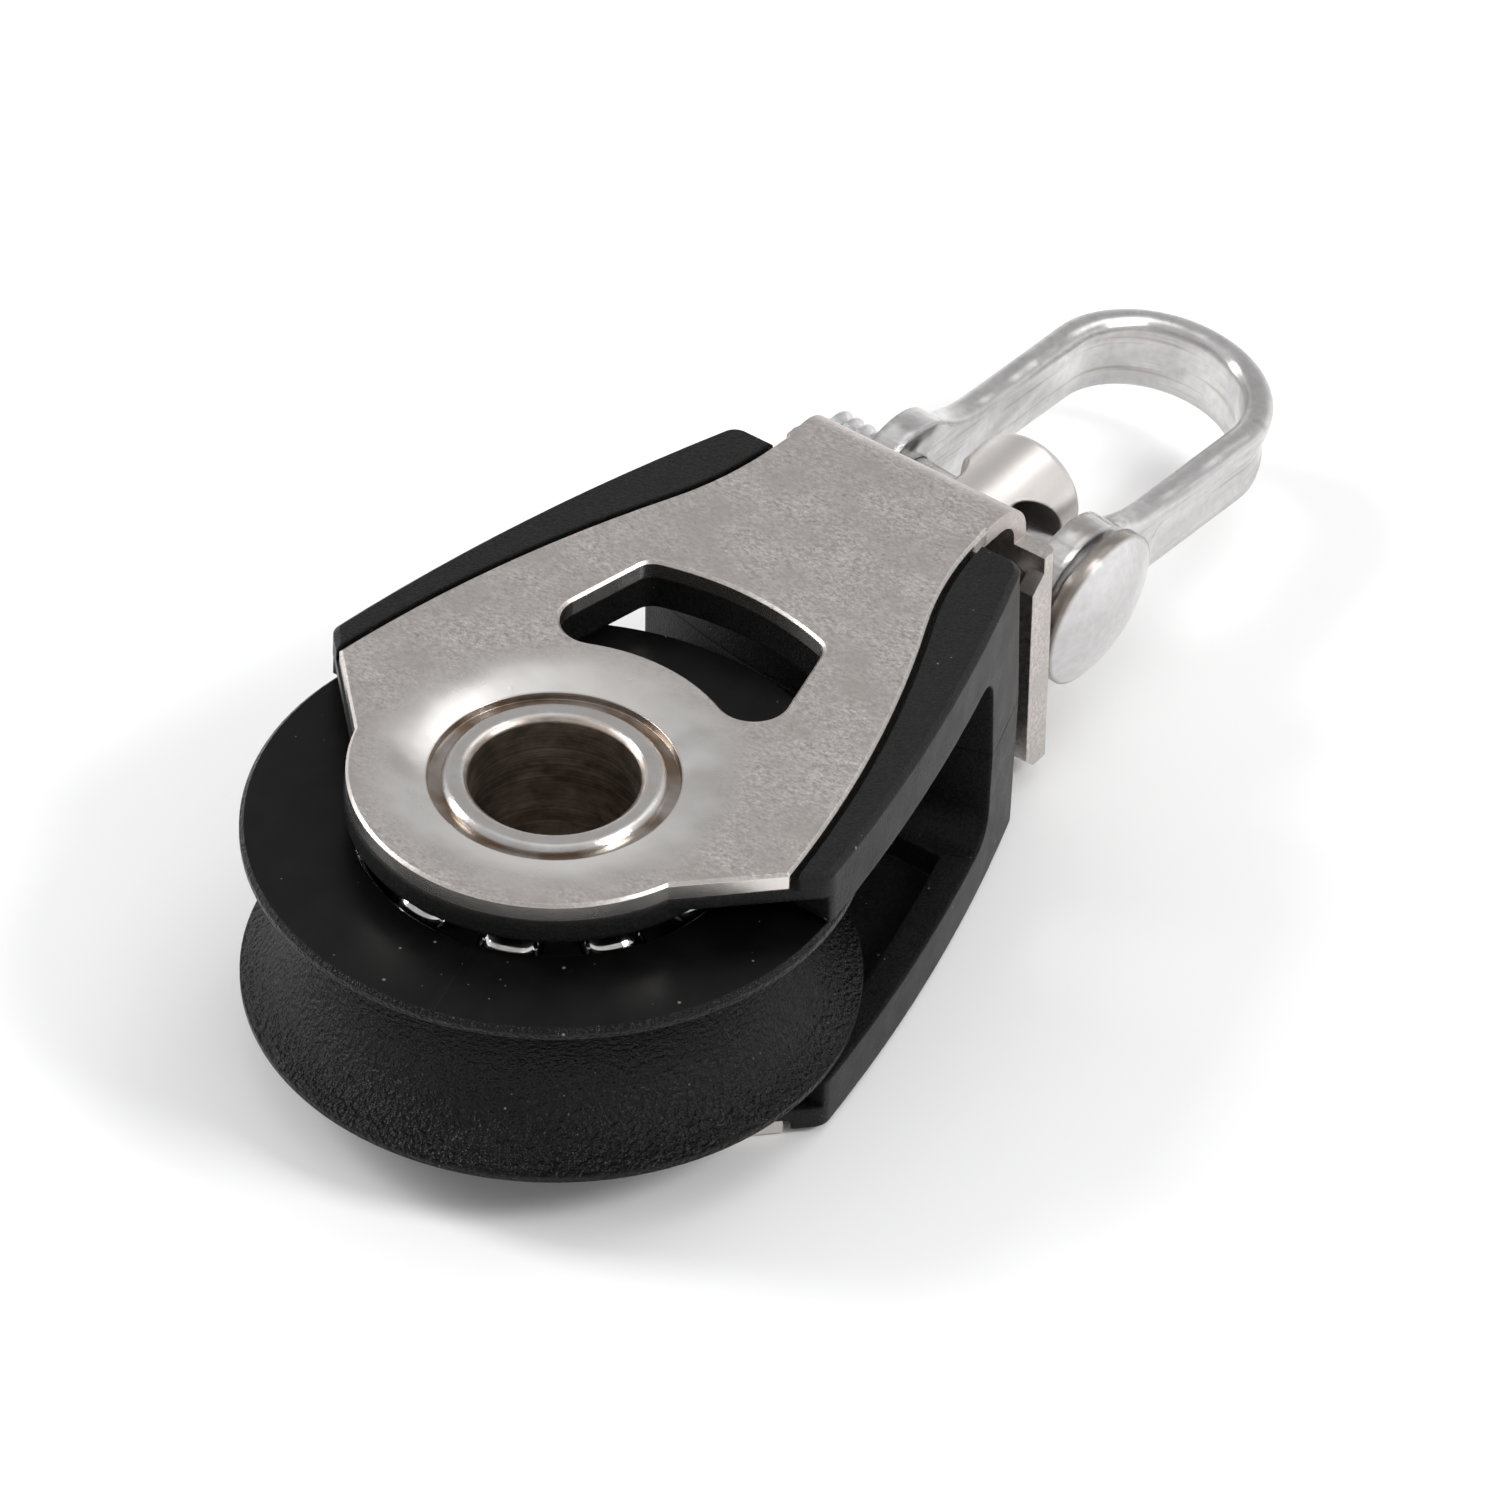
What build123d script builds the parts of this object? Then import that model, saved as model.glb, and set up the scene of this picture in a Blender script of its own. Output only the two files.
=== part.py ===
from build123d import *

import os
from math import asin, cos, radians, sin, sqrt, tan

# A small ball-bearing sheave block: a grooved wheel between two moulded cheeks, held by two
# sheet-steel straps, with a swivelling post, a shackle and a screw pin at its head.
# Frame: origin at the centre of the axle, at the middle of the sheave; +X towards the shackle,
# +Z along the axle. All lengths are millimetres, all angles degrees.

# Sheave
sheave_radius = 15.0
sheave_width = 9.84
groove_bottom_radius = 11.9
rim_land = 0.32
rim_bevel = 0.22

# Ball bearing
ball_diameter = 3.175
balls_per_row = 10
ball_phase = 22.0
ball_pitch_radius = 7.8
ball_row_height = 3.35
ball_clearance = 0.06
race_rib_height = 1.2
race_rib_depth = 0.85
cage_inner_radius = 7.15
cage_outer_radius = 8.45
cage_base_height = 1.32
cage_top_height = 3.7
race_bore_radius = 5.02
race_half_length = 6.8
race_edge = 0.2
track_edge = 0.25
track_rib_slope = 0.3

# Axle tube
bore_radius = 4.18
tube_radius = 5.0
bore_half_length = 7.68
rim_radius = 5.39
rim_top = 7.89
rim_seat = 7.45
rim_round = 0.24

# Strap plates
strap_top = 8.28
sheet = 0.98
round_end_radius = 9.93
shoulder_x = 0.65
shoulder_y = 13.4
strap_middle = (10.0, 11.32)
strap_waist = (19.5, 7.75)
neck_start = (25.0, 6.16)
neck_x = 27.0
neck_half_width = 5.95
strap_edge = 0.14
seat_radius = 6.1
dish_radius = 8.8
dish_edge_height = 7.8
bend_radius = 2.1
bend_inner_radius = 1.12
seat_clearance = 0.02
seat_lip = 0.08

# Window in the straps
window_outer_radius = 16.0
window_inner_radius = 9.3
window_back_x = 10.87
window_back_half = 6.33
window_front_x = 13.9
window_front_half = 5.6
window_inner_corner = 1.8
window_outer_corner = 1.0
window_shift = 0.35

# Head channel
channel_face = 30.3
channel_half_width = 7.8
channel_lip_x = 28.4
channel_top = 5.8
channel_lip_top = 4.0
channel_bottom = -7.2
channel_wall = 0.9
channel_corner = 0.4
channel_foot = 0.6
tongue_face = 29.3
tongue_half_width = 6.75
tongue_top = 4.6
tongue_neck = -5.8
tongue_corner = 0.8
neck_overlap = 0.5
post_hole_radius = 3.15

# Cheeks
cheek_top = 8.15
cheek_draft = 1.2
cheek_end_radius = 10.0
cheek_tail = (2.0, 14.88)
cheek_middle = (13.7, 12.6)
cheek_head = (26.2, 8.65)
cheek_tail_corner = 0.9
cheek_head_corner = 1.1
cheek_wall = 1.6
panel_top = 7.3
panel_under = 6.7
arm_under = 5.15
ring_under = 6.1
boss_inner_radius = 6.9
boss_outer_radius = 8.3
cheek_hole_radius = 6.5
pocket_gap = 0.35
web_side = (21.9, 11.5)
web_middle_x = 19.5
web_corner = 1.5
tail_end_x = 2.0
lip_gap = 0.08
lip_wall = 0.6
lip_under = 5.4
lip_clear_radius = 11.5
parting_gap = 0.04
cheek_edge = 0.3
ring_overlap = 0.2
dish_gap = 0.2

# Swivel post
post_radius = 3.1
post_end = 39.4
post_round = 0.5
post_flange_radius = 4.9
post_flange_back = 26.85
post_flange_front = 28.22
flange_edge = 0.2
pin_x = 35.0
pin_hole_radius = 2.65

# Shackle
shackle_half_width = 6.1
shackle_thickness = 1.5
shackle_band = 4.2
shackle_bow_x = 49.9
ear_radius = 4.0
ear_blend_x = 6.4
ear_leave = 50.0
ear_hollow = 0.2
ear_hole_radius = 2.06
shackle_edge = 0.5
band_hollow_radius = 3.0
band_hollow_depth = 0.22

# Shackle pin
pin_radius = 2.0
pin_tip = 9.9
pin_head_radius = 4.2
pin_head_under = -6.6
pin_head_rim = -7.35
pin_head_crown = -8.4
pin_collar_radius = 2.7
pin_collar_end = -6.14
thread_pitch = 0.7
thread_depth = 0.38
thread_start = 4.9
thread_lead_in = 0.3
head_edge = 0.1

# How the free pieces lie at rest
swivel_turn = 7.0
shackle_droop = 7.0
pin_sag = 0.58


def slab(sketch, low, high, taper=0):
    """Extrude a flat shape upwards from one height to another."""
    return Pos(0, 0, low) * extrude(sketch, high - low, dir=(0, 0, 1), taper=taper)


def half_to_face(edges):
    """Close a half outline, drawn on the +Y side, with its mirror image."""
    half = Curve() + edges
    return make_face(mirror(half, Plane.XZ) + half)


def slanted_end(radius, corner):
    """Where the 45 degree line through corner meets a circle about the axle."""
    rise = corner[1] - corner[0]
    x = (sqrt(2 * radius**2 - rise**2) - rise) / 2
    return (x, x + rise)


def round_end(radius, stop):
    """Arc about the axle from the far end of the part to the point stop."""
    turn = radians(150)
    return ThreePointArc((-radius, 0), (radius * cos(turn), radius * sin(turn)), stop)


def strap_outline():
    """Plan of a strap: round end, 45 degree shoulders, long taper and straight neck."""
    shoulder = (shoulder_x, shoulder_y)
    notch = slanted_end(round_end_radius, shoulder)
    taper = ThreePointArc(shoulder, strap_middle, strap_waist)
    edges = [
        round_end(round_end_radius, notch),
        Line(notch, shoulder),
        taper,
        TangentArc(strap_waist, neck_start, tangent=taper % 1),
        Line(neck_start, (neck_x, neck_half_width)),
        Line((neck_x, neck_half_width), (neck_x, 0)),
    ]
    return half_to_face(edges)


def window_outline(growth=0.0):
    """Plan of the window between two arcs about the axle, made larger by growth."""
    slope = (window_front_half - window_back_half) / (window_front_x - window_back_x)
    near = window_inner_radius / 2
    far = window_outer_radius + 2
    near_half = window_back_half + slope * (near - window_back_x)
    far_half = window_back_half + slope * (far - window_back_x)
    wedge = Polygon((near, -near_half), (far, -far_half), (far, far_half), (near, near_half), align=None)
    band = Circle(window_outer_radius) - Circle(window_inner_radius)
    sketch = wedge & band
    corners = sketch.vertices()
    inner = corners.filter_by(lambda v: v.center().length < window_inner_radius + 1)
    sketch = fillet(inner, window_inner_corner)
    outer = sketch.vertices().filter_by(lambda v: v.center().length > window_outer_radius - 0.1)
    sketch = fillet(outer, window_outer_corner)
    if growth:
        sketch = offset(sketch, growth)
    return Pos(0, window_shift) * sketch


def dish_profile():
    """Section of the plate where it sinks towards the axle, seen in the XZ plane."""
    sink = strap_top - dish_edge_height
    top = Spline(
        (dish_radius, strap_top),
        (seat_radius, dish_edge_height),
        tangents=[(-1, 0), (-1, -0.3)],
    )
    under = Spline(
        (dish_radius, strap_top - sheet),
        (seat_radius, strap_top - sheet - sink),
        tangents=[(-1, 0), (-1, -0.1)],
    )
    hole = tube_radius + seat_clearance
    seat = Polyline(
        (seat_radius, dish_edge_height),
        (seat_radius - seat_lip, rim_seat),
        (hole, rim_seat),
        (hole, strap_top - sheet - sink),
        (seat_radius, strap_top - sheet - sink),
    )
    side = Line((dish_radius, strap_top - sheet), (dish_radius, strap_top))
    return Plane.XZ * make_face(Curve() + [top, seat, under, side])


def strap_plate():
    """Flat part of a strap with its window and the dished seat for the axle."""
    plate = slab(strap_outline(), strap_top - sheet, strap_top)
    plate -= slab(window_outline(), strap_top - 2 * sheet, strap_top + sheet)
    rim = plate.faces().sort_by(Axis.Z)[-1].edges()
    rim = rim.filter_by(lambda e: e.center().X < neck_x - 0.01)
    plate = chamfer(rim, strap_edge)
    plate -= Cylinder(dish_radius, 4 * strap_top)
    return plate + revolve(dish_profile(), Axis.Z)


def bend(face_x, half_width, stop):
    """Quarter bend from the plate's neck down to the height stop."""
    inner_x = face_x - sheet
    top = strap_top
    under = strap_top - sheet
    diagonal = sin(radians(45))
    outer_arc = ThreePointArc(
        (face_x - bend_radius, top),
        (face_x - bend_radius * (1 - diagonal), top - bend_radius * (1 - diagonal)),
        (face_x, top - bend_radius),
    )
    inner_arc = ThreePointArc(
        (inner_x, under - bend_inner_radius),
        (inner_x - bend_inner_radius * (1 - diagonal), under - bend_inner_radius * (1 - diagonal)),
        (inner_x - bend_inner_radius, under),
    )
    edges = [
        Line((neck_x, top), (face_x - bend_radius, top)),
        outer_arc,
        Line((face_x, top - bend_radius), (face_x, stop)),
        Line((face_x, stop), (inner_x, stop)),
        Line((inner_x, stop), (inner_x, under - bend_inner_radius)),
        inner_arc,
        Line((inner_x - bend_inner_radius, under), (neck_x, under)),
        Line((neck_x, under), (neck_x, top)),
    ]
    profile = Plane.XZ * make_face(Curve() + edges)
    return extrude(profile, half_width, both=True)


def post_hole():
    """Hole along X for the swivel post."""
    return Pos(pin_x, 0, 0) * Rot(0, 90, 0) * Cylinder(post_hole_radius, 4 * sheave_radius)


def head_channel():
    """Down-turned end of the upper strap, with a wall folded in along each side."""
    height = channel_top - channel_bottom
    middle_z = (channel_top + channel_bottom) / 2
    flange = Pos(channel_face - sheet / 2, 0, middle_z) * Box(sheet, 2 * channel_half_width, height)
    wall_shape = Plane.XZ * Polygon(
        (channel_face, channel_bottom),
        (channel_face, channel_top),
        (channel_lip_x, channel_lip_top),
        (channel_lip_x, channel_bottom + channel_foot),
        (channel_lip_x + channel_foot, channel_bottom),
        align=None,
    )
    wall = Pos(0, channel_half_width, 0) * extrude(wall_shape, channel_wall)
    channel = flange + wall + mirror(wall, Plane.XZ)
    corners = channel.edges().filter_by(Axis.Z)
    corners = corners.filter_by(lambda e: e.center().X > channel_face - 0.01)
    return fillet(corners, channel_corner)


def upper_strap():
    """Plate, bend and head channel in one sheet."""
    neck = bend(channel_face, neck_half_width, channel_top - neck_overlap)
    return strap_plate() + neck + head_channel() - post_hole()


def lower_strap():
    """Plate and a plain tongue that stands inside the upper strap's channel."""
    neck = bend(tongue_face, neck_half_width, -tongue_neck - neck_overlap)
    height = tongue_top - tongue_neck
    middle_z = -(tongue_top + tongue_neck) / 2
    tongue = Pos(tongue_face - sheet / 2, 0, middle_z) * Box(sheet, 2 * tongue_half_width, height)
    tongue = fillet(tongue.edges().filter_by(Axis.X), tongue_corner)
    return mirror(strap_plate() + neck + tongue - post_hole(), Plane.XY)


def axle_tube():
    """Tube through the block, with both ends rolled out over the straps."""
    half = [
        Line((bore_radius, 0), (bore_radius, bore_half_length)),
        Line((bore_radius, bore_half_length), (bore_radius + rim_round, rim_top)),
        Line((bore_radius + rim_round, rim_top), (rim_radius - rim_round, rim_top)),
        Line((rim_radius - rim_round, rim_top), (rim_radius, rim_top - rim_round)),
        Line((rim_radius, rim_top - rim_round), (rim_radius, rim_seat)),
        Line((rim_radius, rim_seat), (tube_radius, rim_seat)),
        Line((tube_radius, rim_seat), (tube_radius, 0)),
        Line((tube_radius, 0), (bore_radius, 0)),
    ]
    upper = revolve(Plane.XZ * make_face(Curve() + half), Axis.Z)
    return upper + mirror(upper, Plane.XY)


def inner_race():
    """Hardened sleeve on the tube, with a rib between the two rows of balls."""
    track = ball_pitch_radius - ball_diameter / 2 - ball_clearance
    sleeve = Cylinder(track, 2 * race_half_length)
    rib = Cylinder(track + race_rib_depth, 2 * race_rib_height)
    rib = chamfer(rib.edges(), race_edge)
    return sleeve + rib - Cylinder(race_bore_radius, 3 * race_half_length)


def sheave():
    """Wheel with a rope groove outside and two ball tracks inside."""
    half = sheave_width / 2
    track = ball_pitch_radius + ball_diameter / 2 + ball_clearance
    land = half - rim_bevel - rim_land
    rib = track - race_rib_depth
    edges = [
        Line((track + track_edge, half), (sheave_radius - rim_bevel, half)),
        Line((sheave_radius - rim_bevel, half), (sheave_radius, half - rim_bevel)),
        Line((sheave_radius, half - rim_bevel), (sheave_radius, land)),
        ThreePointArc((sheave_radius, land), (groove_bottom_radius, 0), (sheave_radius, -land)),
        Line((sheave_radius, -land), (sheave_radius, -half + rim_bevel)),
        Line((sheave_radius, -half + rim_bevel), (sheave_radius - rim_bevel, -half)),
        Line((sheave_radius - rim_bevel, -half), (track + track_edge, -half)),
        Line((track + track_edge, -half), (track, -half + track_edge)),
        Line((track, -half + track_edge), (track, -race_rib_height)),
        Line((track, -race_rib_height), (rib, -race_rib_height + track_rib_slope)),
        Line((rib, -race_rib_height + track_rib_slope), (rib, race_rib_height - track_rib_slope)),
        Line((rib, race_rib_height - track_rib_slope), (track, race_rib_height)),
        Line((track, race_rib_height), (track, half - track_edge)),
        Line((track, half - track_edge), (track + track_edge, half)),
    ]
    return revolve(Plane.XZ * make_face(Curve() + edges), Axis.Z)


def ball_places(side):
    """Centres of the balls of one row; side is +1 for the upper row and -1 for the lower."""
    step = 360 / balls_per_row
    places = []
    for index in range(balls_per_row):
        turn = radians(ball_phase + index * step)
        x = ball_pitch_radius * cos(turn)
        y = ball_pitch_radius * sin(turn)
        places.append(Pos(x, y, side * ball_row_height))
    return places


def ball_cage(side):
    """Crown-shaped ring whose fingers keep the balls of one row apart."""
    height = cage_top_height - cage_base_height
    middle = (cage_top_height + cage_base_height) / 2
    ring = Cylinder(cage_outer_radius, height) - Cylinder(cage_inner_radius, 2 * height)
    ring = Pos(0, 0, side * middle) * ring
    for place in ball_places(side):
        ring -= place * Sphere(ball_diameter / 2 + ball_clearance)
    return ring


def cheek_outline():
    """Plan of a cheek at its top edge, a little larger all round than the strap."""
    notch = slanted_end(cheek_end_radius, cheek_tail)
    edges = [
        round_end(cheek_end_radius, notch),
        Line(notch, cheek_tail),
        ThreePointArc(cheek_tail, cheek_middle, cheek_head),
        Line(cheek_head, (cheek_head[0], 0)),
    ]
    outline = half_to_face(edges)
    tails = outline.vertices().filter_by(lambda v: abs(v.Y) > cheek_tail[1] - 0.01)
    outline = fillet(tails, cheek_tail_corner)
    heads = outline.vertices().filter_by(lambda v: v.X > cheek_head[0] - 0.01 and abs(v.Y) > 1)
    return fillet(heads, cheek_head_corner)


def rope_space():
    """Room for the sheave and rope, open at both sides and closed by the head web."""
    back = ThreePointArc((web_side[0], web_side[1]), (web_middle_x, 0), (web_side[0], -web_side[1]))
    reach = 2 * sheave_radius
    outside = Polyline(
        (web_side[0], -web_side[1]),
        (web_side[0], -reach),
        (-reach, -reach),
        (-reach, reach),
        (web_side[0], reach),
        (web_side[0], web_side[1]),
    )
    space = slab(make_face(Curve() + [back, outside]), -arm_under, arm_under)
    top = space.faces().sort_by(Axis.Z)[-1].edges()
    front = top.filter_by(lambda e: e.center().X > web_middle_x - 1)
    return fillet(front, web_corner)


def under_panel():
    """Space above the sheave, between the side walls and below the cheek's panel."""
    reach = 2 * sheave_radius
    inside = offset(cheek_outline(), -cheek_wall)
    before_web = Pos(web_middle_x - web_corner / 2 - reach, 0) * Rectangle(2 * reach, 2 * reach)
    beyond_tail = Pos(tail_end_x - reach, 0) * Rectangle(2 * reach, 2 * reach)
    return slab((inside & before_web) + beyond_tail, arm_under - 1, panel_under)


def bearing_ring():
    """Round end below the panel, with a low boss that keeps the balls in."""
    ring = Cylinder(cheek_end_radius, panel_top - ring_under) - Cylinder(cheek_hole_radius, sheave_radius)
    ring = Pos(0, 0, (panel_top + ring_under) / 2) * ring
    boss = Cylinder(boss_outer_radius, ring_under - arm_under + ring_overlap)
    boss -= Cylinder(boss_inner_radius, sheave_radius)
    return ring + Pos(0, 0, (ring_under + arm_under + ring_overlap) / 2) * boss


def dish_room():
    """Space that the strap's dished seat takes out of the cheek."""
    sink = strap_top - dish_edge_height
    profile = Polygon(
        (0, cheek_top + 1),
        (0, panel_top - sink - seat_clearance),
        (seat_radius + dish_gap, panel_top - sink - seat_clearance),
        (dish_radius + dish_gap, panel_top),
        (dish_radius + dish_gap, cheek_top + 1),
        align=None,
    )
    return revolve(Plane.XZ * profile, Axis.Z)


def window_lip():
    """Thin wall that hangs below the panel round the window, clear of the ball row."""
    ring = window_outline(lip_gap + lip_wall) - window_outline(lip_gap)
    return slab(ring, lip_under, panel_top) - Cylinder(lip_clear_radius, 3 * sheave_radius)


def upper_cheek():
    """Moulded side of the block: rim, strap pocket, panel, bearing ring and head."""
    shoulder = cheek_top - cheek_edge
    growth = shoulder * tan(radians(cheek_draft))
    cheek = slab(offset(cheek_outline(), growth), 0, shoulder, taper=cheek_draft)
    cheek += slab(cheek_outline(), shoulder, cheek_top, taper=45)
    cheek -= rope_space()
    cheek -= under_panel()
    cheek += bearing_ring()
    cheek -= slab(offset(strap_outline(), pocket_gap), panel_top, cheek_top + 1)
    cheek -= dish_room()
    cheek -= Cylinder(cheek_hole_radius, 3 * sheave_radius)
    cheek += window_lip()
    cheek -= slab(window_outline(lip_gap), arm_under, cheek_top + 1)
    return cheek - Pos(web_middle_x, 0, 0) * Box(2 * sheave_radius, 4 * sheave_radius, parting_gap)


def swivel_post():
    """Round post with a flange behind the straps and a cross hole for the shackle pin."""
    post = Cylinder(post_radius, post_end - post_flange_back, align=(Align.CENTER, Align.CENTER, Align.MIN))
    post = fillet(post.edges().sort_by(Axis.Z)[-1], post_round)
    thickness = post_flange_front - post_flange_back
    flange = Cylinder(post_flange_radius, thickness, align=(Align.CENTER, Align.CENTER, Align.MIN))
    flange = chamfer(flange.edges(), flange_edge)
    post = Pos(post_flange_back, 0, 0) * Rot(0, 90, 0) * (post + flange)
    hole = Pos(pin_x, 0, 0) * Rot(90, 0, 0) * Cylinder(pin_hole_radius, 4 * post_radius)
    return post - hole


def ear_shape():
    """Side view of an ear and the start of its leg, seen along Y."""
    half_band = shackle_band / 2
    blend_end = pin_x + ear_blend_x
    leave = radians(ear_leave)
    start = (pin_x + ear_radius * cos(leave), ear_radius * sin(leave))
    middle = (pin_x + (ear_radius * cos(leave) + ear_blend_x) / 2, (start[1] + half_band) / 2 - ear_hollow)
    edges = [
        ThreePointArc((pin_x - ear_radius, 0), (pin_x, ear_radius), start),
        ThreePointArc(start, middle, (blend_end, half_band)),
        Line((blend_end, half_band), (shackle_bow_x, half_band)),
        Line((shackle_bow_x, half_band), (shackle_bow_x, 0)),
    ]
    half = Curve() + edges
    return Plane.XZ * make_face(half + mirror(half, Plane.XZ))


def band_hollow():
    """Shallow channel worn round the outside of the legs and bow."""
    centre = shackle_half_width + band_hollow_radius - band_hollow_depth
    start = pin_x + ear_blend_x + 1
    length = shackle_bow_x - start
    leg = Cylinder(band_hollow_radius, length, align=(Align.CENTER, Align.CENTER, Align.MIN))
    leg = Pos(start, centre, 0) * (Rot(0, 90, 0) * leg + Sphere(band_hollow_radius))
    half_turn = revolve(Pos(centre, 0) * Plane.XZ * Circle(band_hollow_radius), Axis.Z, 180)
    bow = Pos(shackle_bow_x, 0, 0) * Rot(0, 0, -90) * half_turn
    return leg + mirror(leg, Plane.XZ) + bow


def shackle_straight():
    """Bow, legs and ears of the shackle, lying along +X."""
    outer = shackle_half_width
    inner = shackle_half_width - shackle_thickness
    leg = Pos(0, outer, 0) * extrude(ear_shape(), shackle_thickness)
    bow = Cylinder(outer, shackle_band) - Cylinder(inner, 2 * shackle_band)
    bow = Pos(shackle_bow_x, 0, 0) * bow
    bow &= Pos(shackle_bow_x + outer, 0, 0) * Box(2 * outer, 4 * outer, 4 * outer)
    body = leg + mirror(leg, Plane.XZ) + bow
    beyond_ears = pin_x + ear_blend_x - shackle_edge
    rims = body.edges().filter_by(lambda e: abs(e.center().Z) > shackle_edge and e.center().X > beyond_ears)
    body = fillet(rims, shackle_edge)
    hole = Pos(pin_x, 0, 0) * Rot(90, 0, 0) * Cylinder(ear_hole_radius, 4 * outer)
    return body - band_hollow() - hole


def pin_straight():
    """Screw pin along Y, with a domed disc head on the -Y side and thread at the tip."""
    crest = pin_radius
    root = pin_radius - thread_depth
    points = [(0, pin_tip), (root - thread_lead_in, pin_tip)]
    turns = int((pin_tip - thread_start) / thread_pitch)
    for index in range(turns):
        high = pin_tip - thread_lead_in - index * thread_pitch
        points.append((root, high))
        points.append((crest, high - 0.3 * thread_pitch))
        points.append((crest, high - 0.45 * thread_pitch))
    points += [
        (crest, pin_collar_end),
        (pin_collar_radius, pin_collar_end),
        (pin_collar_radius, pin_head_under),
        (pin_head_radius - head_edge, pin_head_under),
        (pin_head_radius, pin_head_under - head_edge),
        (pin_head_radius, pin_head_rim),
    ]
    side = Polyline(*points)
    rise = pin_head_rim - pin_head_crown
    dome_radius = (pin_head_radius**2 + rise**2) / (2 * rise)
    half_turn = asin(pin_head_radius / dome_radius) / 2
    dome = ThreePointArc(
        (pin_head_radius, pin_head_rim),
        (dome_radius * sin(half_turn), pin_head_crown + dome_radius * (1 - cos(half_turn))),
        (0, pin_head_crown),
    )
    core = Line((0, pin_head_crown), (0, pin_tip))
    pin = revolve(make_face(Curve() + [side, dome, core]), Axis.Y)
    return Pos(pin_x, 0, 0) * pin


def turned_with_swivel(shape):
    """Turn a straight piece about the post's axis to its resting angle."""
    return Rot(swivel_turn, 0, 0) * shape


def hung(shape):
    """Swing a straight piece down about the pin, which hangs at the bottom of the post's hole."""
    swung = Pos(pin_x, 0, 0) * Rot(0, shackle_droop, 0) * Pos(-pin_x, 0, 0) * shape
    return Pos(0, 0, -pin_sag) * turned_with_swivel(swung)


def save(shape, node):
    """Write one node of the assembly."""
    shape.label = node
    export_step(shape, f"parts/{node}.step")


def main():
    os.makedirs("parts", exist_ok=True)
    cheek = upper_cheek()
    save(upper_strap(), "upper_strap")
    save(lower_strap(), "lower_strap")
    save(cheek, "upper_cheek")
    save(mirror(cheek, Plane.XY), "lower_cheek")
    save(axle_tube(), "axle_tube")
    save(inner_race(), "inner_race")
    save(sheave(), "sheave")
    for side, row in ((1, "upper"), (-1, "lower")):
        save(ball_cage(side), f"{row}_ball_cage")
        for index, place in enumerate(ball_places(side), start=1):
            save(place * Sphere(ball_diameter / 2), f"{row}_ball_{index:02d}")
    save(turned_with_swivel(swivel_post()), "swivel_post")
    save(hung(shackle_straight()), "shackle")
    save(hung(pin_straight()), "shackle_pin")


main()
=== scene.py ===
from math import radians

import bpy
from mathutils import Matrix, Vector


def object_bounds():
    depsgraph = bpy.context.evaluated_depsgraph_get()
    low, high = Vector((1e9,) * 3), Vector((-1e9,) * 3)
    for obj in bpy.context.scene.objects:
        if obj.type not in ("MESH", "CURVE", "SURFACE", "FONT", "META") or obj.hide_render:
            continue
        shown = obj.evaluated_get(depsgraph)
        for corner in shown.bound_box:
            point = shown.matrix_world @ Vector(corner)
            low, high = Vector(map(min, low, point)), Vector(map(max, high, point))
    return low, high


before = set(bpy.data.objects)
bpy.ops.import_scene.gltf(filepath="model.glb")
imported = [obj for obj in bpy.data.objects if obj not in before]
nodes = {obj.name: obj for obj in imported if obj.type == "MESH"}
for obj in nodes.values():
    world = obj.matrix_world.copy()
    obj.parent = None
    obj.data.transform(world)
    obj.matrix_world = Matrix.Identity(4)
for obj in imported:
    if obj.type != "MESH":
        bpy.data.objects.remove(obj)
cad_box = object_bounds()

scene = bpy.context.scene

# Everything is in metres, in the frame of the CAD model: the axle is the Z axis, the shackle is at +X.
MM = 0.001

# View of the block: a long lens, high over the sheave and looking towards the shackle. Angles in degrees.
CAMERA_PLACE = (-0.43170, -0.31967, 0.47169)
CAMERA_HEADING = 35.53
CAMERA_DOWN = 40.70
CAMERA_ROLL = 1.42
LENS_MM = 358.2
SENSOR_MM = 36.0

# Near and far ends of what the camera sees.
CLIP = (0.05, 20.0)

FLOOR_HALF = 3.0
FLOOR_GAP = 0.02 * MM
FLOOR_COLOUR = (0.95, 0.95, 0.95)

# Point that the lights aim at, and the lights: name, place, width and height, and power in watts.
BLOCK_MIDDLE = (0.02, 0.0, 0.0)
SOFTBOXES = [
    ("front", (0.18, -0.73, 0.66), (0.30, 0.30), 4.5),
    ("overhead", (0.62, -0.12, 0.80), (0.50, 0.50), 1.3),
    ("left", (-0.25, 0.80, 0.58), (0.30, 0.55), 5.5),
]

# Grey of the studio tent, from the horizon (0) to straight above (1).
TENT = [(0.0, 0.88), (0.25, 0.76), (0.45, 0.54), (0.70, 0.44), (0.85, 0.68), (1.0, 0.86)]

# Radii about the axle where the finish of the metal changes; inside SEAT_EDGE the seat ring is painted
# dark brown as shade.
BORE_WALL = 4.40 * MM
SEAT_EDGE = 6.15 * MM
DISH_EDGE = 9.2 * MM
# The straps' cut edges are bright where X is less than this, on the axle's side of the neck's bend.
PLATE_END = 26.9 * MM

# Directions square to the shackle's strip and to the pin, and where the pin's axis lies.
SHACKLE_UP = (0.1219, -0.1210, 0.9852)
PIN_UP = (0.0, -0.1219, 0.9925)
PIN_X = 35.0 * MM
PIN_HEIGHT = -0.576 * MM
HEAD_RIM = 4.2 * MM

# Turns of the noise, in degrees; each one gives another pattern, stretched the same way.
SHEET_TURN = 28.0
SHEET_SECOND_TURN = 74.0
CHEEK_TURN = -20.0
SHEAVE_TURN = 10.0
SHEAVE_SECOND_TURN = 68.0

# Place of the sheave's mould line, and how far from it the line ends and is full, in radians.
SEAM_ANGLE = radians(-166.0)
SEAM_EDGE = 0.012
SEAM_CORE = 0.004

# A speck is full out to this part of a cell. A rub starts and is full at these levels, less its share.
SPECK_REACH = 0.16
RUB_START = 0.86
RUB_FULL = 0.93
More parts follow.
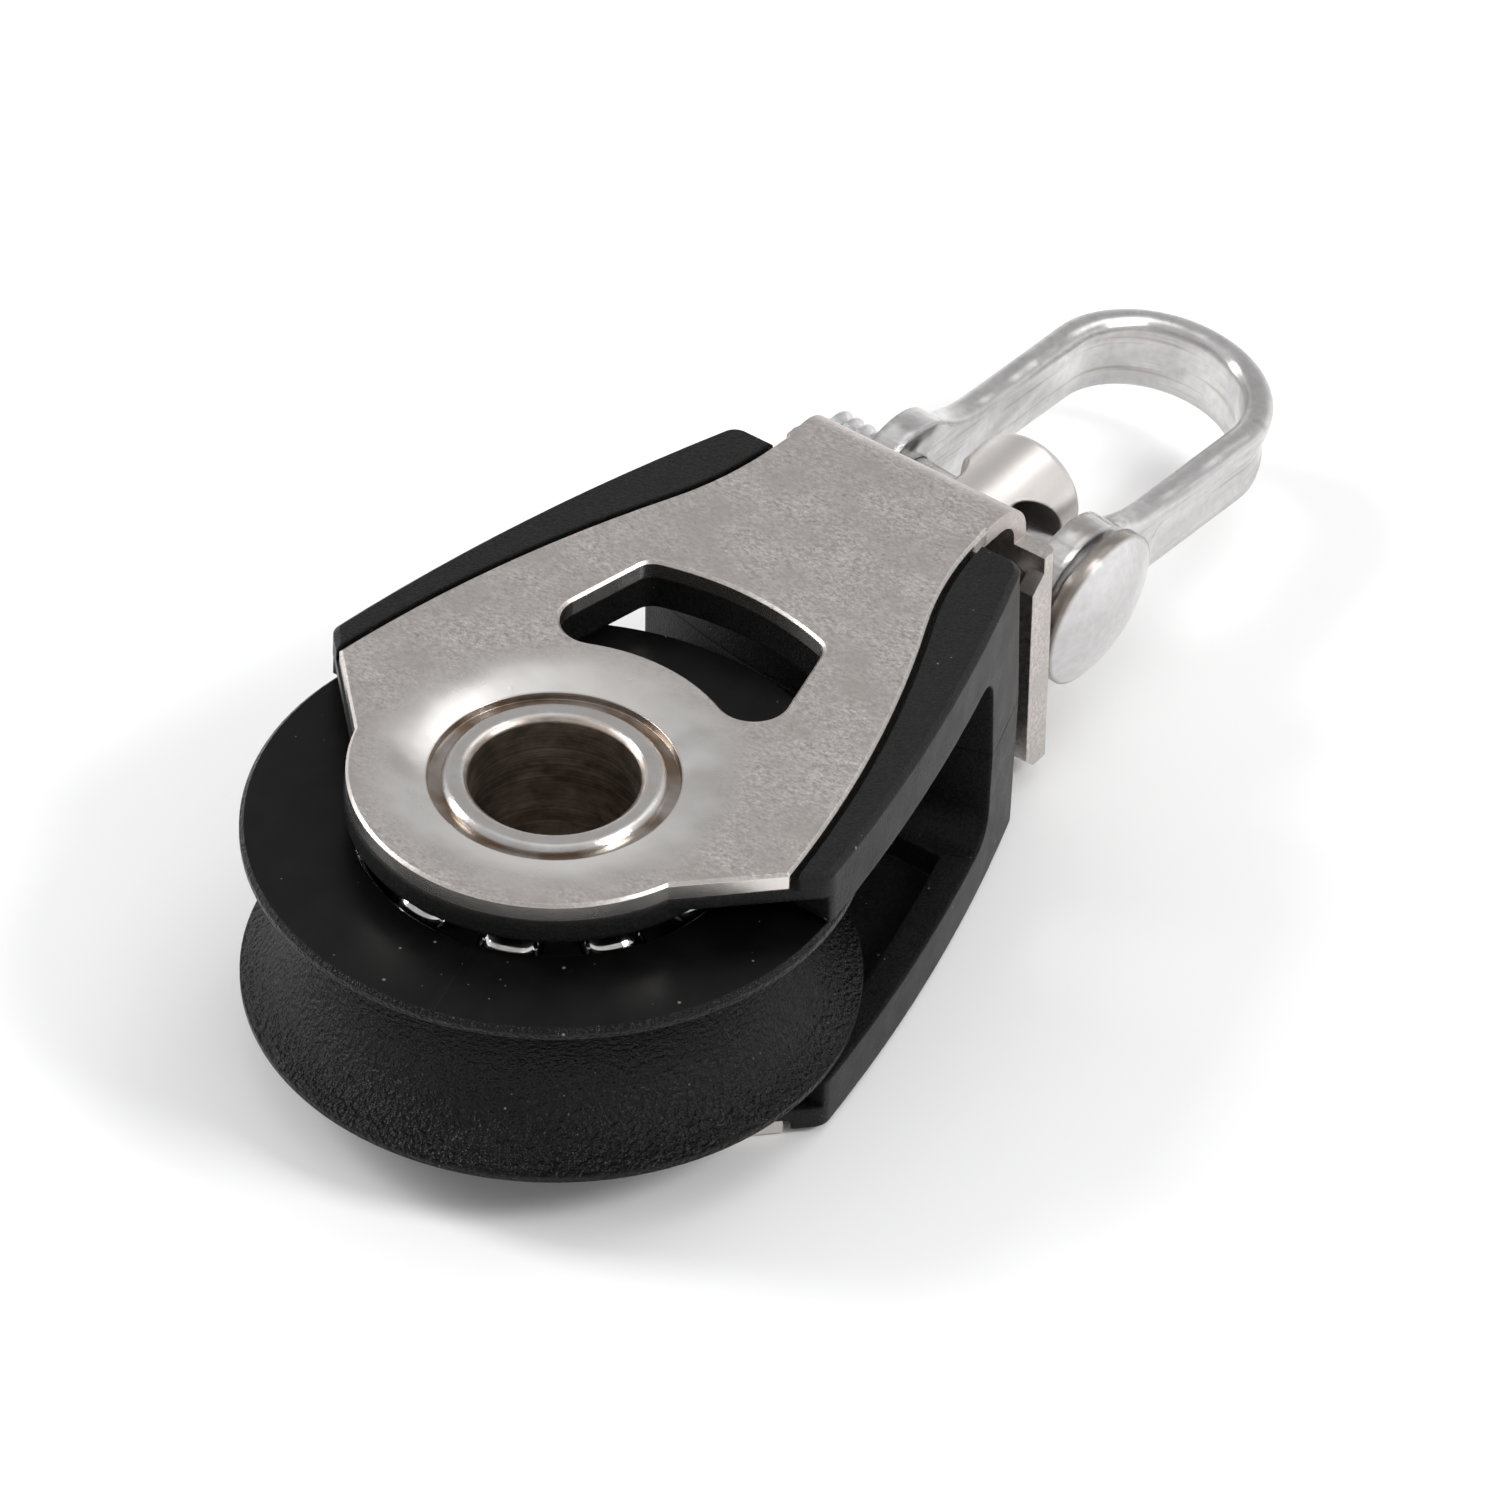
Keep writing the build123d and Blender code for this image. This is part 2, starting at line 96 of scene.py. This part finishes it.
# Shares of the cells that hold a grain of dust, coarse and fine.
COARSE_DUST = 0.008
FINE_DUST = 0.010


# ---------------------------------------------------------------- camera, floor and light

def add_camera():
    """Camera that looks along its heading, tipped down and rolled a little."""
    data = bpy.data.cameras.new("camera")
    data.sensor_width = SENSOR_MM
    data.lens = LENS_MM
    data.clip_start, data.clip_end = CLIP
    camera = bpy.data.objects.new("camera", data)
    scene.collection.objects.link(camera)
    heading = Matrix.Rotation(radians(CAMERA_HEADING - 90.0), 4, "Z")
    tip = Matrix.Rotation(radians(90.0 - CAMERA_DOWN), 4, "X")
    roll = Matrix.Rotation(radians(CAMERA_ROLL), 4, "Z")
    camera.matrix_world = Matrix.Translation(CAMERA_PLACE) @ heading @ tip @ roll
    scene.camera = camera


def add_floor(height):
    """Plain pale floor under the block."""
    turns = [(-1, -1), (1, -1), (1, 1), (-1, 1)]
    corners = [(x * FLOOR_HALF, y * FLOOR_HALF, height) for x, y in turns]
    mesh = bpy.data.meshes.new("floor")
    mesh.from_pydata(corners, [], [(0, 1, 2, 3)])
    floor = bpy.data.objects.new("floor", mesh)
    scene.collection.objects.link(floor)
    material = bpy.data.materials.new("floor")
    material.use_nodes = True
    shader = material.node_tree.nodes["Principled BSDF"]
    shader.inputs["Base Color"].default_value = (*FLOOR_COLOUR, 1.0)
    shader.inputs["Roughness"].default_value = 1.0
    shader.inputs["Specular IOR Level"].default_value = 0.0
    mesh.materials.append(material)


def add_softbox(name, place, size, power):
    """Large soft light at place, pointed at the block's middle."""
    data = bpy.data.lights.new(name, "AREA")
    data.shape = "RECTANGLE"
    data.size, data.size_y = size
    data.energy = power
    light = bpy.data.objects.new(name, data)
    direction = Vector(BLOCK_MIDDLE) - Vector(place)
    light.rotation_euler = direction.to_track_quat("-Z", "Y").to_euler()
    light.location = place
    scene.collection.objects.link(light)


def add_world():
    """Studio tent: pale at the horizon, greyer half way up and brighter overhead."""
    world = bpy.data.worlds.new("studio")
    world.use_nodes = True
    tree = world.node_tree
    coordinates = tree.nodes.new("ShaderNodeTexCoord")
    split = tree.nodes.new("ShaderNodeSeparateXYZ")
    ramp = tree.nodes.new("ShaderNodeValToRGB")
    tree.links.new(coordinates.outputs["Generated"], split.inputs[0])
    tree.links.new(split.outputs["Z"], ramp.inputs[0])
    elements = ramp.color_ramp.elements
    while len(elements) < len(TENT):
        elements.new(0.5)
    for element, (height, grey) in zip(elements, TENT):
        element.position = height
        element.color = (grey, grey, grey, 1.0)
    tree.links.new(ramp.outputs["Color"], tree.nodes["Background"].inputs["Color"])
    scene.world = world


# ---------------------------------------------------------------- node helpers

class Finish:
    """One procedural material, built node by node."""

    def __init__(self, name):
        self.material = bpy.data.materials.new(name)
        self.material.use_nodes = True
        self.tree = self.material.node_tree
        self.shader = self.tree.nodes["Principled BSDF"]
        coordinates = self.tree.nodes.new("ShaderNodeTexCoord")
        self.place = coordinates.outputs["Object"]
        self.facing = coordinates.outputs["Normal"]

    def put(self, socket, value):
        """Join value to the socket, or store it there when it is a plain value."""
        if isinstance(value, bpy.types.NodeSocket):
            self.tree.links.new(value, socket)
        else:
            socket.default_value = value

    def math(self, kind, *values):
        """Any operation of the Math node."""
        node = self.tree.nodes.new("ShaderNodeMath")
        node.operation = kind
        for socket, value in zip(node.inputs, values):
            self.put(socket, value)
        return node.outputs[0]

    def times(self, first, second):
        return self.math("MULTIPLY", first, second)

    def size_of(self, value):
        """The value without its sign."""
        return self.math("ABSOLUTE", value)

    def hypotenuse(self, x, y):
        return self.math("SQRT", self.math("ADD", self.times(x, x), self.times(y, y)))

    def along(self, direction):
        """Distance of the place from the axle's middle, measured along a direction."""
        node = self.tree.nodes.new("ShaderNodeVectorMath")
        node.operation = "DOT_PRODUCT"
        self.put(node.inputs[0], self.place)
        node.inputs[1].default_value = direction
        return node.outputs["Value"]

    def split(self, vector):
        """The three parts of a vector or colour."""
        node = self.tree.nodes.new("ShaderNodeSeparateXYZ")
        self.put(node.inputs[0], vector)
        return node.outputs["X"], node.outputs["Y"], node.outputs["Z"]

    def combine(self, x=0.0, y=0.0, z=0.0):
        """A vector from its three parts."""
        node = self.tree.nodes.new("ShaderNodeCombineXYZ")
        for socket, value in zip(node.inputs, (x, y, z)):
            self.put(socket, value)
        return node.outputs[0]

    def radius(self):
        """Distance from the axle."""
        x, y, _ = self.split(self.place)
        return self.hypotenuse(x, y)

    def angle(self):
        """Angle about the axle, in radians."""
        x, y, _ = self.split(self.place)
        return self.math("ARCTAN2", y, x)

    def stretched(self, sizes, turn=0.0):
        """Place divided by sizes in metres, and then turned about Z in degrees."""
        node = self.tree.nodes.new("ShaderNodeMapping")
        self.put(node.inputs["Vector"], self.place)
        node.inputs["Rotation"].default_value = (0.0, 0.0, radians(turn))
        node.inputs["Scale"].default_value = [1.0 / size for size in sizes]
        return node.outputs[0]

    def noise(self, vector, detail, roughness):
        """Noise with cells of about one unit."""
        node = self.tree.nodes.new("ShaderNodeTexNoise")
        self.put(node.inputs["Vector"], vector)
        node.inputs["Scale"].default_value = 1.0
        node.inputs["Detail"].default_value = detail
        node.inputs["Roughness"].default_value = roughness
        return node.outputs["Fac"]

    def cloud(self, size, detail=3.0, roughness=0.6):
        """Noise with cells of the same size in every direction, in metres."""
        return self.noise(self.stretched((size, size, size)), detail, roughness)

    def specks(self, size, share, softness=0.05):
        """Sparse round spots: cells of the given size, of which about share hold a spot."""
        node = self.tree.nodes.new("ShaderNodeTexVoronoi")
        self.put(node.inputs["Vector"], self.stretched((size, size, size)))
        node.inputs["Scale"].default_value = 1.0
        near = self.window(node.outputs["Distance"], SPECK_REACH + softness, SPECK_REACH)
        chosen = self.split(node.outputs["Color"])[0]
        return self.times(near, self.math("LESS_THAN", chosen, share))

    def dust(self, coarse, fine):
        """Dust of two sizes of cell."""
        return self.math("MAXIMUM", self.specks(coarse, COARSE_DUST), self.specks(fine, FINE_DUST))

    def scratches(self, length, width, turn, share):
        """Thin straight marks along X; another turn gives other marks."""
        streaks = self.noise(self.stretched((length, width, length), turn), detail=1.0, roughness=0.4)
        return self.window(streaks, RUB_START - share, RUB_FULL - share)

    def window(self, value, low, high):
        """0 at low, 1 at high, and a straight ramp between."""
        node = self.tree.nodes.new("ShaderNodeMapRange")
        self.put(node.inputs["Value"], value)
        node.inputs["From Min"].default_value = low
        node.inputs["From Max"].default_value = high
        return node.outputs["Result"]

    def blend(self, share, first, second):
        """Mix of two numbers, or of two colours when either is a tuple or a colour."""
        node = self.tree.nodes.new("ShaderNodeMix")
        colours = any(isinstance(v, tuple) or getattr(v, "type", "") == "RGBA" for v in (first, second))
        node.data_type = "RGBA" if colours else "FLOAT"
        self.put(node.inputs["Factor"], share)
        places = [s for s in node.inputs if s.enabled and s.name in "AB"]
        for socket, value in zip(places, (first, second)):
            self.put(socket, (*value, 1.0) if isinstance(value, tuple) else value)
        return [s for s in node.outputs if s.enabled][0]

    def tint(self, mask, strength, below, colour):
        """Lay a colour over what is below, as strongly as the mask says."""
        return self.blend(self.times(mask, strength), below, colour)

    def bump(self, height, depth, below=None):
        """Relief of the given depth in metres, laid over any relief below it."""
        node = self.tree.nodes.new("ShaderNodeBump")
        node.inputs["Strength"].default_value = 1.0
        node.inputs["Distance"].default_value = depth
        self.put(node.inputs["Height"], height)
        if below is not None:
            self.put(node.inputs["Normal"], below)
        return node.outputs["Normal"]

    def soft_edges(self, radius):
        """Rounded look for the edges."""
        node = self.tree.nodes.new("ShaderNodeBevel")
        node.samples = 4
        node.inputs["Radius"].default_value = radius
        return node.outputs[0]

    def set(self, **values):
        """Set the shader's sockets; an underscore in a name stands for a space."""
        for name, value in values.items():
            self.put(self.shader.inputs[name.replace("_", " ")], value)
        return self.material

    def metal(self, colour, rough, normal):
        """Bare metal with these values."""
        return self.set(Base_Color=colour, Metallic=1.0, Roughness=rough, Normal=normal)


# ---------------------------------------------------------------- metals

# Colours, here and for the plastics, are linear red, green and blue.
SHEET_DARK = (0.39, 0.36, 0.345)
SHEET_PALE = (0.80, 0.745, 0.72)
SHEET_CLOUD = (0.50, 0.465, 0.44)
SHEET_RUB = (0.78, 0.76, 0.74)
SHEET_PIT = (0.24, 0.21, 0.19)
DISH_DULL = (0.66, 0.635, 0.615)
DISH_BRIGHT = (0.76, 0.74, 0.725)
CUT_EDGE = (0.70, 0.665, 0.63)
# Painted shade and brown reflection for the sunken seat ring round the hole, laid in stain-like patches.
SEAT_SHADE_AND_STAIN = (0.20, 0.145, 0.105)
BORE_DARK = (0.22, 0.185, 0.16)
BORE_WORN = (0.80, 0.70, 0.62)
RIM_BRIGHT = (0.74, 0.725, 0.71)
RIM_DULL = (0.60, 0.56, 0.53)
POST_BRIGHT = (0.76, 0.725, 0.70)
POST_DULL = (0.68, 0.645, 0.62)
POLISH_BRIGHT = (0.69, 0.68, 0.682)
POLISH_DULL = (0.58, 0.568, 0.565)
POLISH_DENT = (0.42, 0.39, 0.37)
# Brown for the shackle's stained drawing lines, and for the painted shade on the pin head's rim.
POLISH_STAIN_AND_SHADE = (0.30, 0.255, 0.22)
BALL_CLEAN = (0.86, 0.86, 0.86)
BALL_GREASY = (0.68, 0.66, 0.63)


def tumbled_plate(f, mottle, broad, marks, pits):
    """Colour of the straps' flat sheet."""
    plate = f.blend(f.window(mottle, 0.3, 0.72), SHEET_DARK, SHEET_PALE)
    plate = f.blend(f.window(broad, 0.35, 0.75), plate, SHEET_CLOUD)
    plate = f.tint(marks, 0.45, plate, SHEET_RUB)
    return f.tint(pits, 0.3, plate, SHEET_PIT)


def strap_steel():
    """Tumbled stainless sheet: mottled satin plate, polished dish, bright cut edges, and a seat ring
    painted dark brown as shade and reflection, in patches like a stain.
    """
    f = Finish("strap_steel")
    x, _, _ = f.split(f.place)
    _, _, up = f.split(f.facing)
    radius = f.radius()
    dish = f.window(radius, DISH_EDGE + 0.4 * MM, DISH_EDGE - 1.6 * MM)
    seat = f.window(radius, SEAT_EDGE + 0.05 * MM, SEAT_EDGE - 0.15 * MM)
    cut = f.times(f.window(f.size_of(up), 0.75, 0.45), f.math("LESS_THAN", x, PLATE_END))

    cells = f.stretched((0.15 * MM, 0.27 * MM, 0.2 * MM), SHEET_TURN)
    mottle = f.noise(cells, detail=3.0, roughness=0.75)
    broad = f.noise(f.stretched((2.2 * MM, 3.4 * MM, 3.0 * MM), SHEET_TURN), detail=2.0, roughness=0.5)
    patches = f.window(broad, 0.3, 0.7)
    rubs = f.scratches(length=2.4 * MM, width=0.05 * MM, turn=SHEET_TURN, share=0.10)
    more_rubs = f.scratches(length=3.2 * MM, width=0.045 * MM, turn=SHEET_SECOND_TURN, share=0.06)
    marks = f.math("MAXIMUM", rubs, more_rubs)
    pits = f.specks(0.62 * MM, share=0.05)

    polished = f.blend(patches, DISH_DULL, DISH_BRIGHT)
    colour = f.blend(dish, tumbled_plate(f, mottle, broad, marks, pits), polished)
    colour = f.blend(cut, colour, CUT_EDGE)
    # Painted shade: the seat ring round the hole is darkened and browned in patches for its shadow and
    # brown reflection.
    colour = f.blend(f.times(seat, f.window(broad, 0.15, 0.6)), colour, SEAT_SHADE_AND_STAIN)
    rough = f.blend(f.window(mottle, 0.25, 0.75), 0.33, 0.46)
    rough = f.blend(dish, rough, f.blend(patches, 0.22, 0.34))
    rough = f.blend(cut, rough, 0.26)
    relief = f.math("ADD", f.times(mottle, f.blend(dish, 0.8, 0.25)), f.times(marks, -0.5))
    relief = f.math("SUBTRACT", relief, pits)
    below = f.bump(broad, 0.03 * MM, f.soft_edges(0.07 * MM))
    return f.metal(colour, rough, f.bump(relief, 0.004 * MM, below))


def axle_steel():
    """Drawn tube with polished rolled rims and a dark, ringed bore."""
    f = Finish("axle_steel")
    _, _, z = f.split(f.place)
    bore = f.window(f.radius(), BORE_WALL, BORE_WALL - 0.1 * MM)
    rings = f.noise(f.combine(z=f.math("DIVIDE", z, 0.16 * MM)), detail=3.0, roughness=0.7)
    wear = f.noise(f.stretched((1.6 * MM, 1.6 * MM, 0.9 * MM)), detail=3.0, roughness=0.6)
    worn_rings = f.window(f.times(rings, wear), 0.14, 0.42)
    inside = f.blend(worn_rings, BORE_DARK, BORE_WORN)
    rim = f.blend(f.window(wear, 0.35, 0.75), RIM_BRIGHT, RIM_DULL)
    rim_rough = f.blend(f.window(wear, 0.3, 0.7), 0.13, 0.24)
    rough = f.blend(bore, rim_rough, f.blend(rings, 0.28, 0.44))
    fine = f.cloud(0.5 * MM, detail=2.0, roughness=0.5)
    relief = f.blend(bore, f.times(fine, 0.35), rings)
    normal = f.bump(relief, 0.03 * MM, f.soft_edges(0.3 * MM))
    return f.metal(f.blend(bore, rim, inside), rough, normal)


def turned_steel():
    """Swivel post: turned about X, with fine rings and a soft satin."""
    f = Finish("turned_steel")
    x, _, _ = f.split(f.place)
    rings = f.noise(f.combine(x=f.math("DIVIDE", x, 0.07 * MM)), detail=2.0, roughness=0.6)
    cloud = f.cloud(1.5 * MM)
    colour = f.blend(f.window(cloud, 0.3, 0.75), POST_BRIGHT, POST_DULL)
    rough = f.blend(f.window(cloud, 0.3, 0.7), 0.34, 0.40)
    relief = f.math("ADD", rings, f.times(f.specks(0.7 * MM, share=0.08), -2.0))
    return f.metal(colour, rough, f.bump(relief, 0.0022 * MM, f.soft_edges(0.15 * MM)))


def polish(f, stain_and_shade):
    """Barrel-polished steel: faces that wave softly and keep small dents, darker where stained, and
    darker and browner on the pin head's rim as painted shade.
    """
    waves = f.noise(f.stretched((3.2 * MM, 2.6 * MM, 2.2 * MM)), detail=1.0, roughness=0.4)
    cloud = f.cloud(0.5 * MM)
    dents = f.specks(0.9 * MM, share=0.06, softness=0.2)
    colour = f.blend(f.window(cloud, 0.3, 0.75), POLISH_BRIGHT, POLISH_DULL)
    colour = f.tint(dents, 0.35, colour, POLISH_DENT)
    # Darker where stained, and on the pin head's rim, where shade is painted.
    colour = f.blend(stain_and_shade, colour, POLISH_STAIN_AND_SHADE)
    rough = f.blend(f.window(cloud, 0.25, 0.75), 0.17, 0.25)
    below = f.bump(waves, 0.22 * MM, f.soft_edges(0.5 * MM))
    relief = f.math("SUBTRACT", f.times(cloud, 0.5), dents)
    return f.metal(colour, rough, f.bump(relief, 0.005 * MM, below))


def shackle_steel():
    """Shackle: faint drawing lines run round the strip."""
    f = Finish("shackle_steel")
    x, y, _ = f.split(f.place)
    far_x, far_y = (f.math("DIVIDE", value, 9.0 * MM) for value in (x, y))
    height = f.math("DIVIDE", f.along(SHACKLE_UP), 0.42 * MM)
    lines = f.noise(f.combine(far_x, far_y, height), detail=2.0, roughness=0.6)
    return polish(f, f.times(f.window(lines, 0.52, 0.72), 0.55))


def pin_steel():
    """Pin: the rim of its head is painted brown as shade."""
    f = Finish("pin_steel")
    x, _, _ = f.split(f.place)
    sideways = f.math("SUBTRACT", x, PIN_X)
    upwards = f.math("SUBTRACT", f.along(PIN_UP), PIN_HEIGHT)
    # Painted shade: a brown ring on the rim of the pin's head.
    rim = f.window(f.hypotenuse(sideways, upwards), HEAD_RIM - 0.22 * MM, HEAD_RIM)
    return polish(f, f.times(rim, 0.8))


def bearing_steel():
    """Ground and polished balls and race, with a thin film of grease."""
    f = Finish("bearing_steel")
    film = f.cloud(0.8 * MM)
    colour = f.blend(f.window(film, 0.35, 0.7), BALL_CLEAN, BALL_GREASY)
    rough = f.blend(f.window(film, 0.4, 0.75), 0.05, 0.2)
    return f.metal(colour, rough, f.bump(film, 0.002 * MM))


# ---------------------------------------------------------------- plastics

# Colours of the plastics, as darkest tone, lighter tones, dust and rubs. The groove's lighter grain tone
# is a painted glint.
CHEEK_DARK = (0.001, 0.001, 0.001)
CHEEK_GRAIN = (0.016, 0.0155, 0.0155)
CHEEK_CLOUD = (0.010, 0.0095, 0.0095)
CHEEK_DUST = (0.30, 0.28, 0.26)
CHEEK_RUB = (0.085, 0.08, 0.08)
SHEAVE_DARK = (0.0018, 0.0018, 0.0019)
SHEAVE_CLOUD = (0.0045, 0.0043, 0.0044)
# Painted glint: a lighter grain tone in the groove, standing in for its sparkle.
GROOVE_GRAIN_GLINT = (0.010, 0.0098, 0.0098)
SHEAVE_DUST = (0.28, 0.26, 0.24)
SHEAVE_RUB = (0.075, 0.07, 0.07)
CAGE_DARK = (0.005, 0.0048, 0.005)
CAGE_PALE = (0.011, 0.0105, 0.010)


def cheek_plastic():
    """Glass-filled nylon: black, evenly grained, with dust and thin rub marks."""
    f = Finish("cheek_plastic")
    grain = f.cloud(0.15 * MM, roughness=0.75)
    cloud = f.cloud(1.8 * MM)
    dust = f.dust(0.5 * MM, 0.22 * MM)
    rubs = f.scratches(length=2.0 * MM, width=0.05 * MM, turn=CHEEK_TURN, share=0.08)
    colour = f.blend(f.window(grain, 0.35, 0.75), CHEEK_DARK, CHEEK_GRAIN)
    colour = f.tint(f.window(cloud, 0.5, 0.8), 0.5, colour, CHEEK_CLOUD)
    colour = f.tint(dust, 0.55, colour, CHEEK_DUST)
    colour = f.tint(rubs, 0.35, colour, CHEEK_RUB)
    rough = f.blend(f.window(cloud, 0.3, 0.7), 0.34, 0.44)
    below = f.bump(cloud, 0.03 * MM, f.soft_edges(0.3 * MM))
    normal = f.bump(f.math("ADD", grain, f.times(dust, 0.8)), 0.06 * MM, below)
    return f.set(Base_Color=colour, Roughness=rough, Normal=normal, Specular_IOR_Level=0.17)


def sheave_plastic():
    """Acetal wheel: smooth faces with turning rings, a grained groove whose grain is painted lighter as
    glints, and one faint mould line.
    """
    f = Finish("sheave_plastic")
    _, _, up = f.split(f.facing)
    face = f.window(f.size_of(up), 0.9, 0.98)
    ring_place = f.combine(x=f.math("DIVIDE", f.radius(), 0.09 * MM))
    rings = f.noise(ring_place, detail=3.0, roughness=0.7)
    grain = f.cloud(0.26 * MM, detail=2.0)
    cloud = f.cloud(2.2 * MM)
    dust = f.dust(0.45 * MM, 0.2 * MM)
    rubs = f.scratches(length=3.0 * MM, width=0.05 * MM, turn=SHEAVE_TURN, share=0.05)
    more_rubs = f.scratches(length=2.2 * MM, width=0.05 * MM, turn=SHEAVE_SECOND_TURN, share=0.05)
    marks = f.math("MAXIMUM", rubs, more_rubs)
    off_seam = f.size_of(f.math("SUBTRACT", f.angle(), SEAM_ANGLE))
    seam = f.window(off_seam, SEAM_EDGE, SEAM_CORE)

    # Painted glints: the grain of the groove, not of the flat faces, is lightened in colour.
    groove_grain_glints = f.times(f.times(grain, 0.5), f.math("SUBTRACT", 1.0, face))
    colour = f.blend(f.window(cloud, 0.35, 0.75), SHEAVE_DARK, SHEAVE_CLOUD)
    colour = f.blend(groove_grain_glints, colour, GROOVE_GRAIN_GLINT)
    colour = f.tint(dust, 0.5, colour, SHEAVE_DUST)
    colour = f.tint(marks, 0.4, colour, SHEAVE_RUB)
    rough = f.blend(face, f.blend(cloud, 0.2, 0.28), f.blend(rings, 0.30, 0.42))
    height = f.blend(face, f.times(grain, 12.0), f.times(rings, 0.16))
    height = f.math("ADD", height, f.times(seam, -0.8))
    height = f.math("SUBTRACT", height, f.times(marks, 0.3))
    normal = f.bump(height, 0.018 * MM, f.soft_edges(0.12 * MM))
    return f.set(Base_Color=colour, Roughness=rough, Normal=normal, Specular_IOR_Level=0.16)


def cage_plastic():
    """Plain moulded nylon, dulled by grease and dust."""
    f = Finish("cage_plastic")
    grain = f.cloud(0.1 * MM, roughness=0.7)
    cloud = f.cloud(1.2 * MM)
    colour = f.blend(f.window(cloud, 0.3, 0.75), CAGE_DARK, CAGE_PALE)
    rough = f.blend(cloud, 0.35, 0.55)
    return f.set(Base_Color=colour, Roughness=rough, Normal=f.bump(grain, 0.012 * MM))


# ---------------------------------------------------------------- the scene

def dress(material, names):
    """Give the material to every slot of the named nodes."""
    for name in names:
        for slot in nodes[name].material_slots:
            slot.material = material


add_camera()
add_floor(cad_box[0][2] - FLOOR_GAP)
add_world()
for softbox in SOFTBOXES:
    add_softbox(*softbox)
scene.view_settings.view_transform = "Standard"

balls = [name for name in nodes if name.rpartition("_")[2].isdigit()]
dress(strap_steel(), ["upper_strap", "lower_strap"])
dress(axle_steel(), ["axle_tube"])
dress(turned_steel(), ["swivel_post"])
dress(shackle_steel(), ["shackle"])
dress(pin_steel(), ["shackle_pin"])
dress(bearing_steel(), ["inner_race", *balls])
dress(cheek_plastic(), ["upper_cheek", "lower_cheek"])
dress(sheave_plastic(), ["sheave"])
dress(cage_plastic(), ["upper_ball_cage", "lower_ball_cage"])
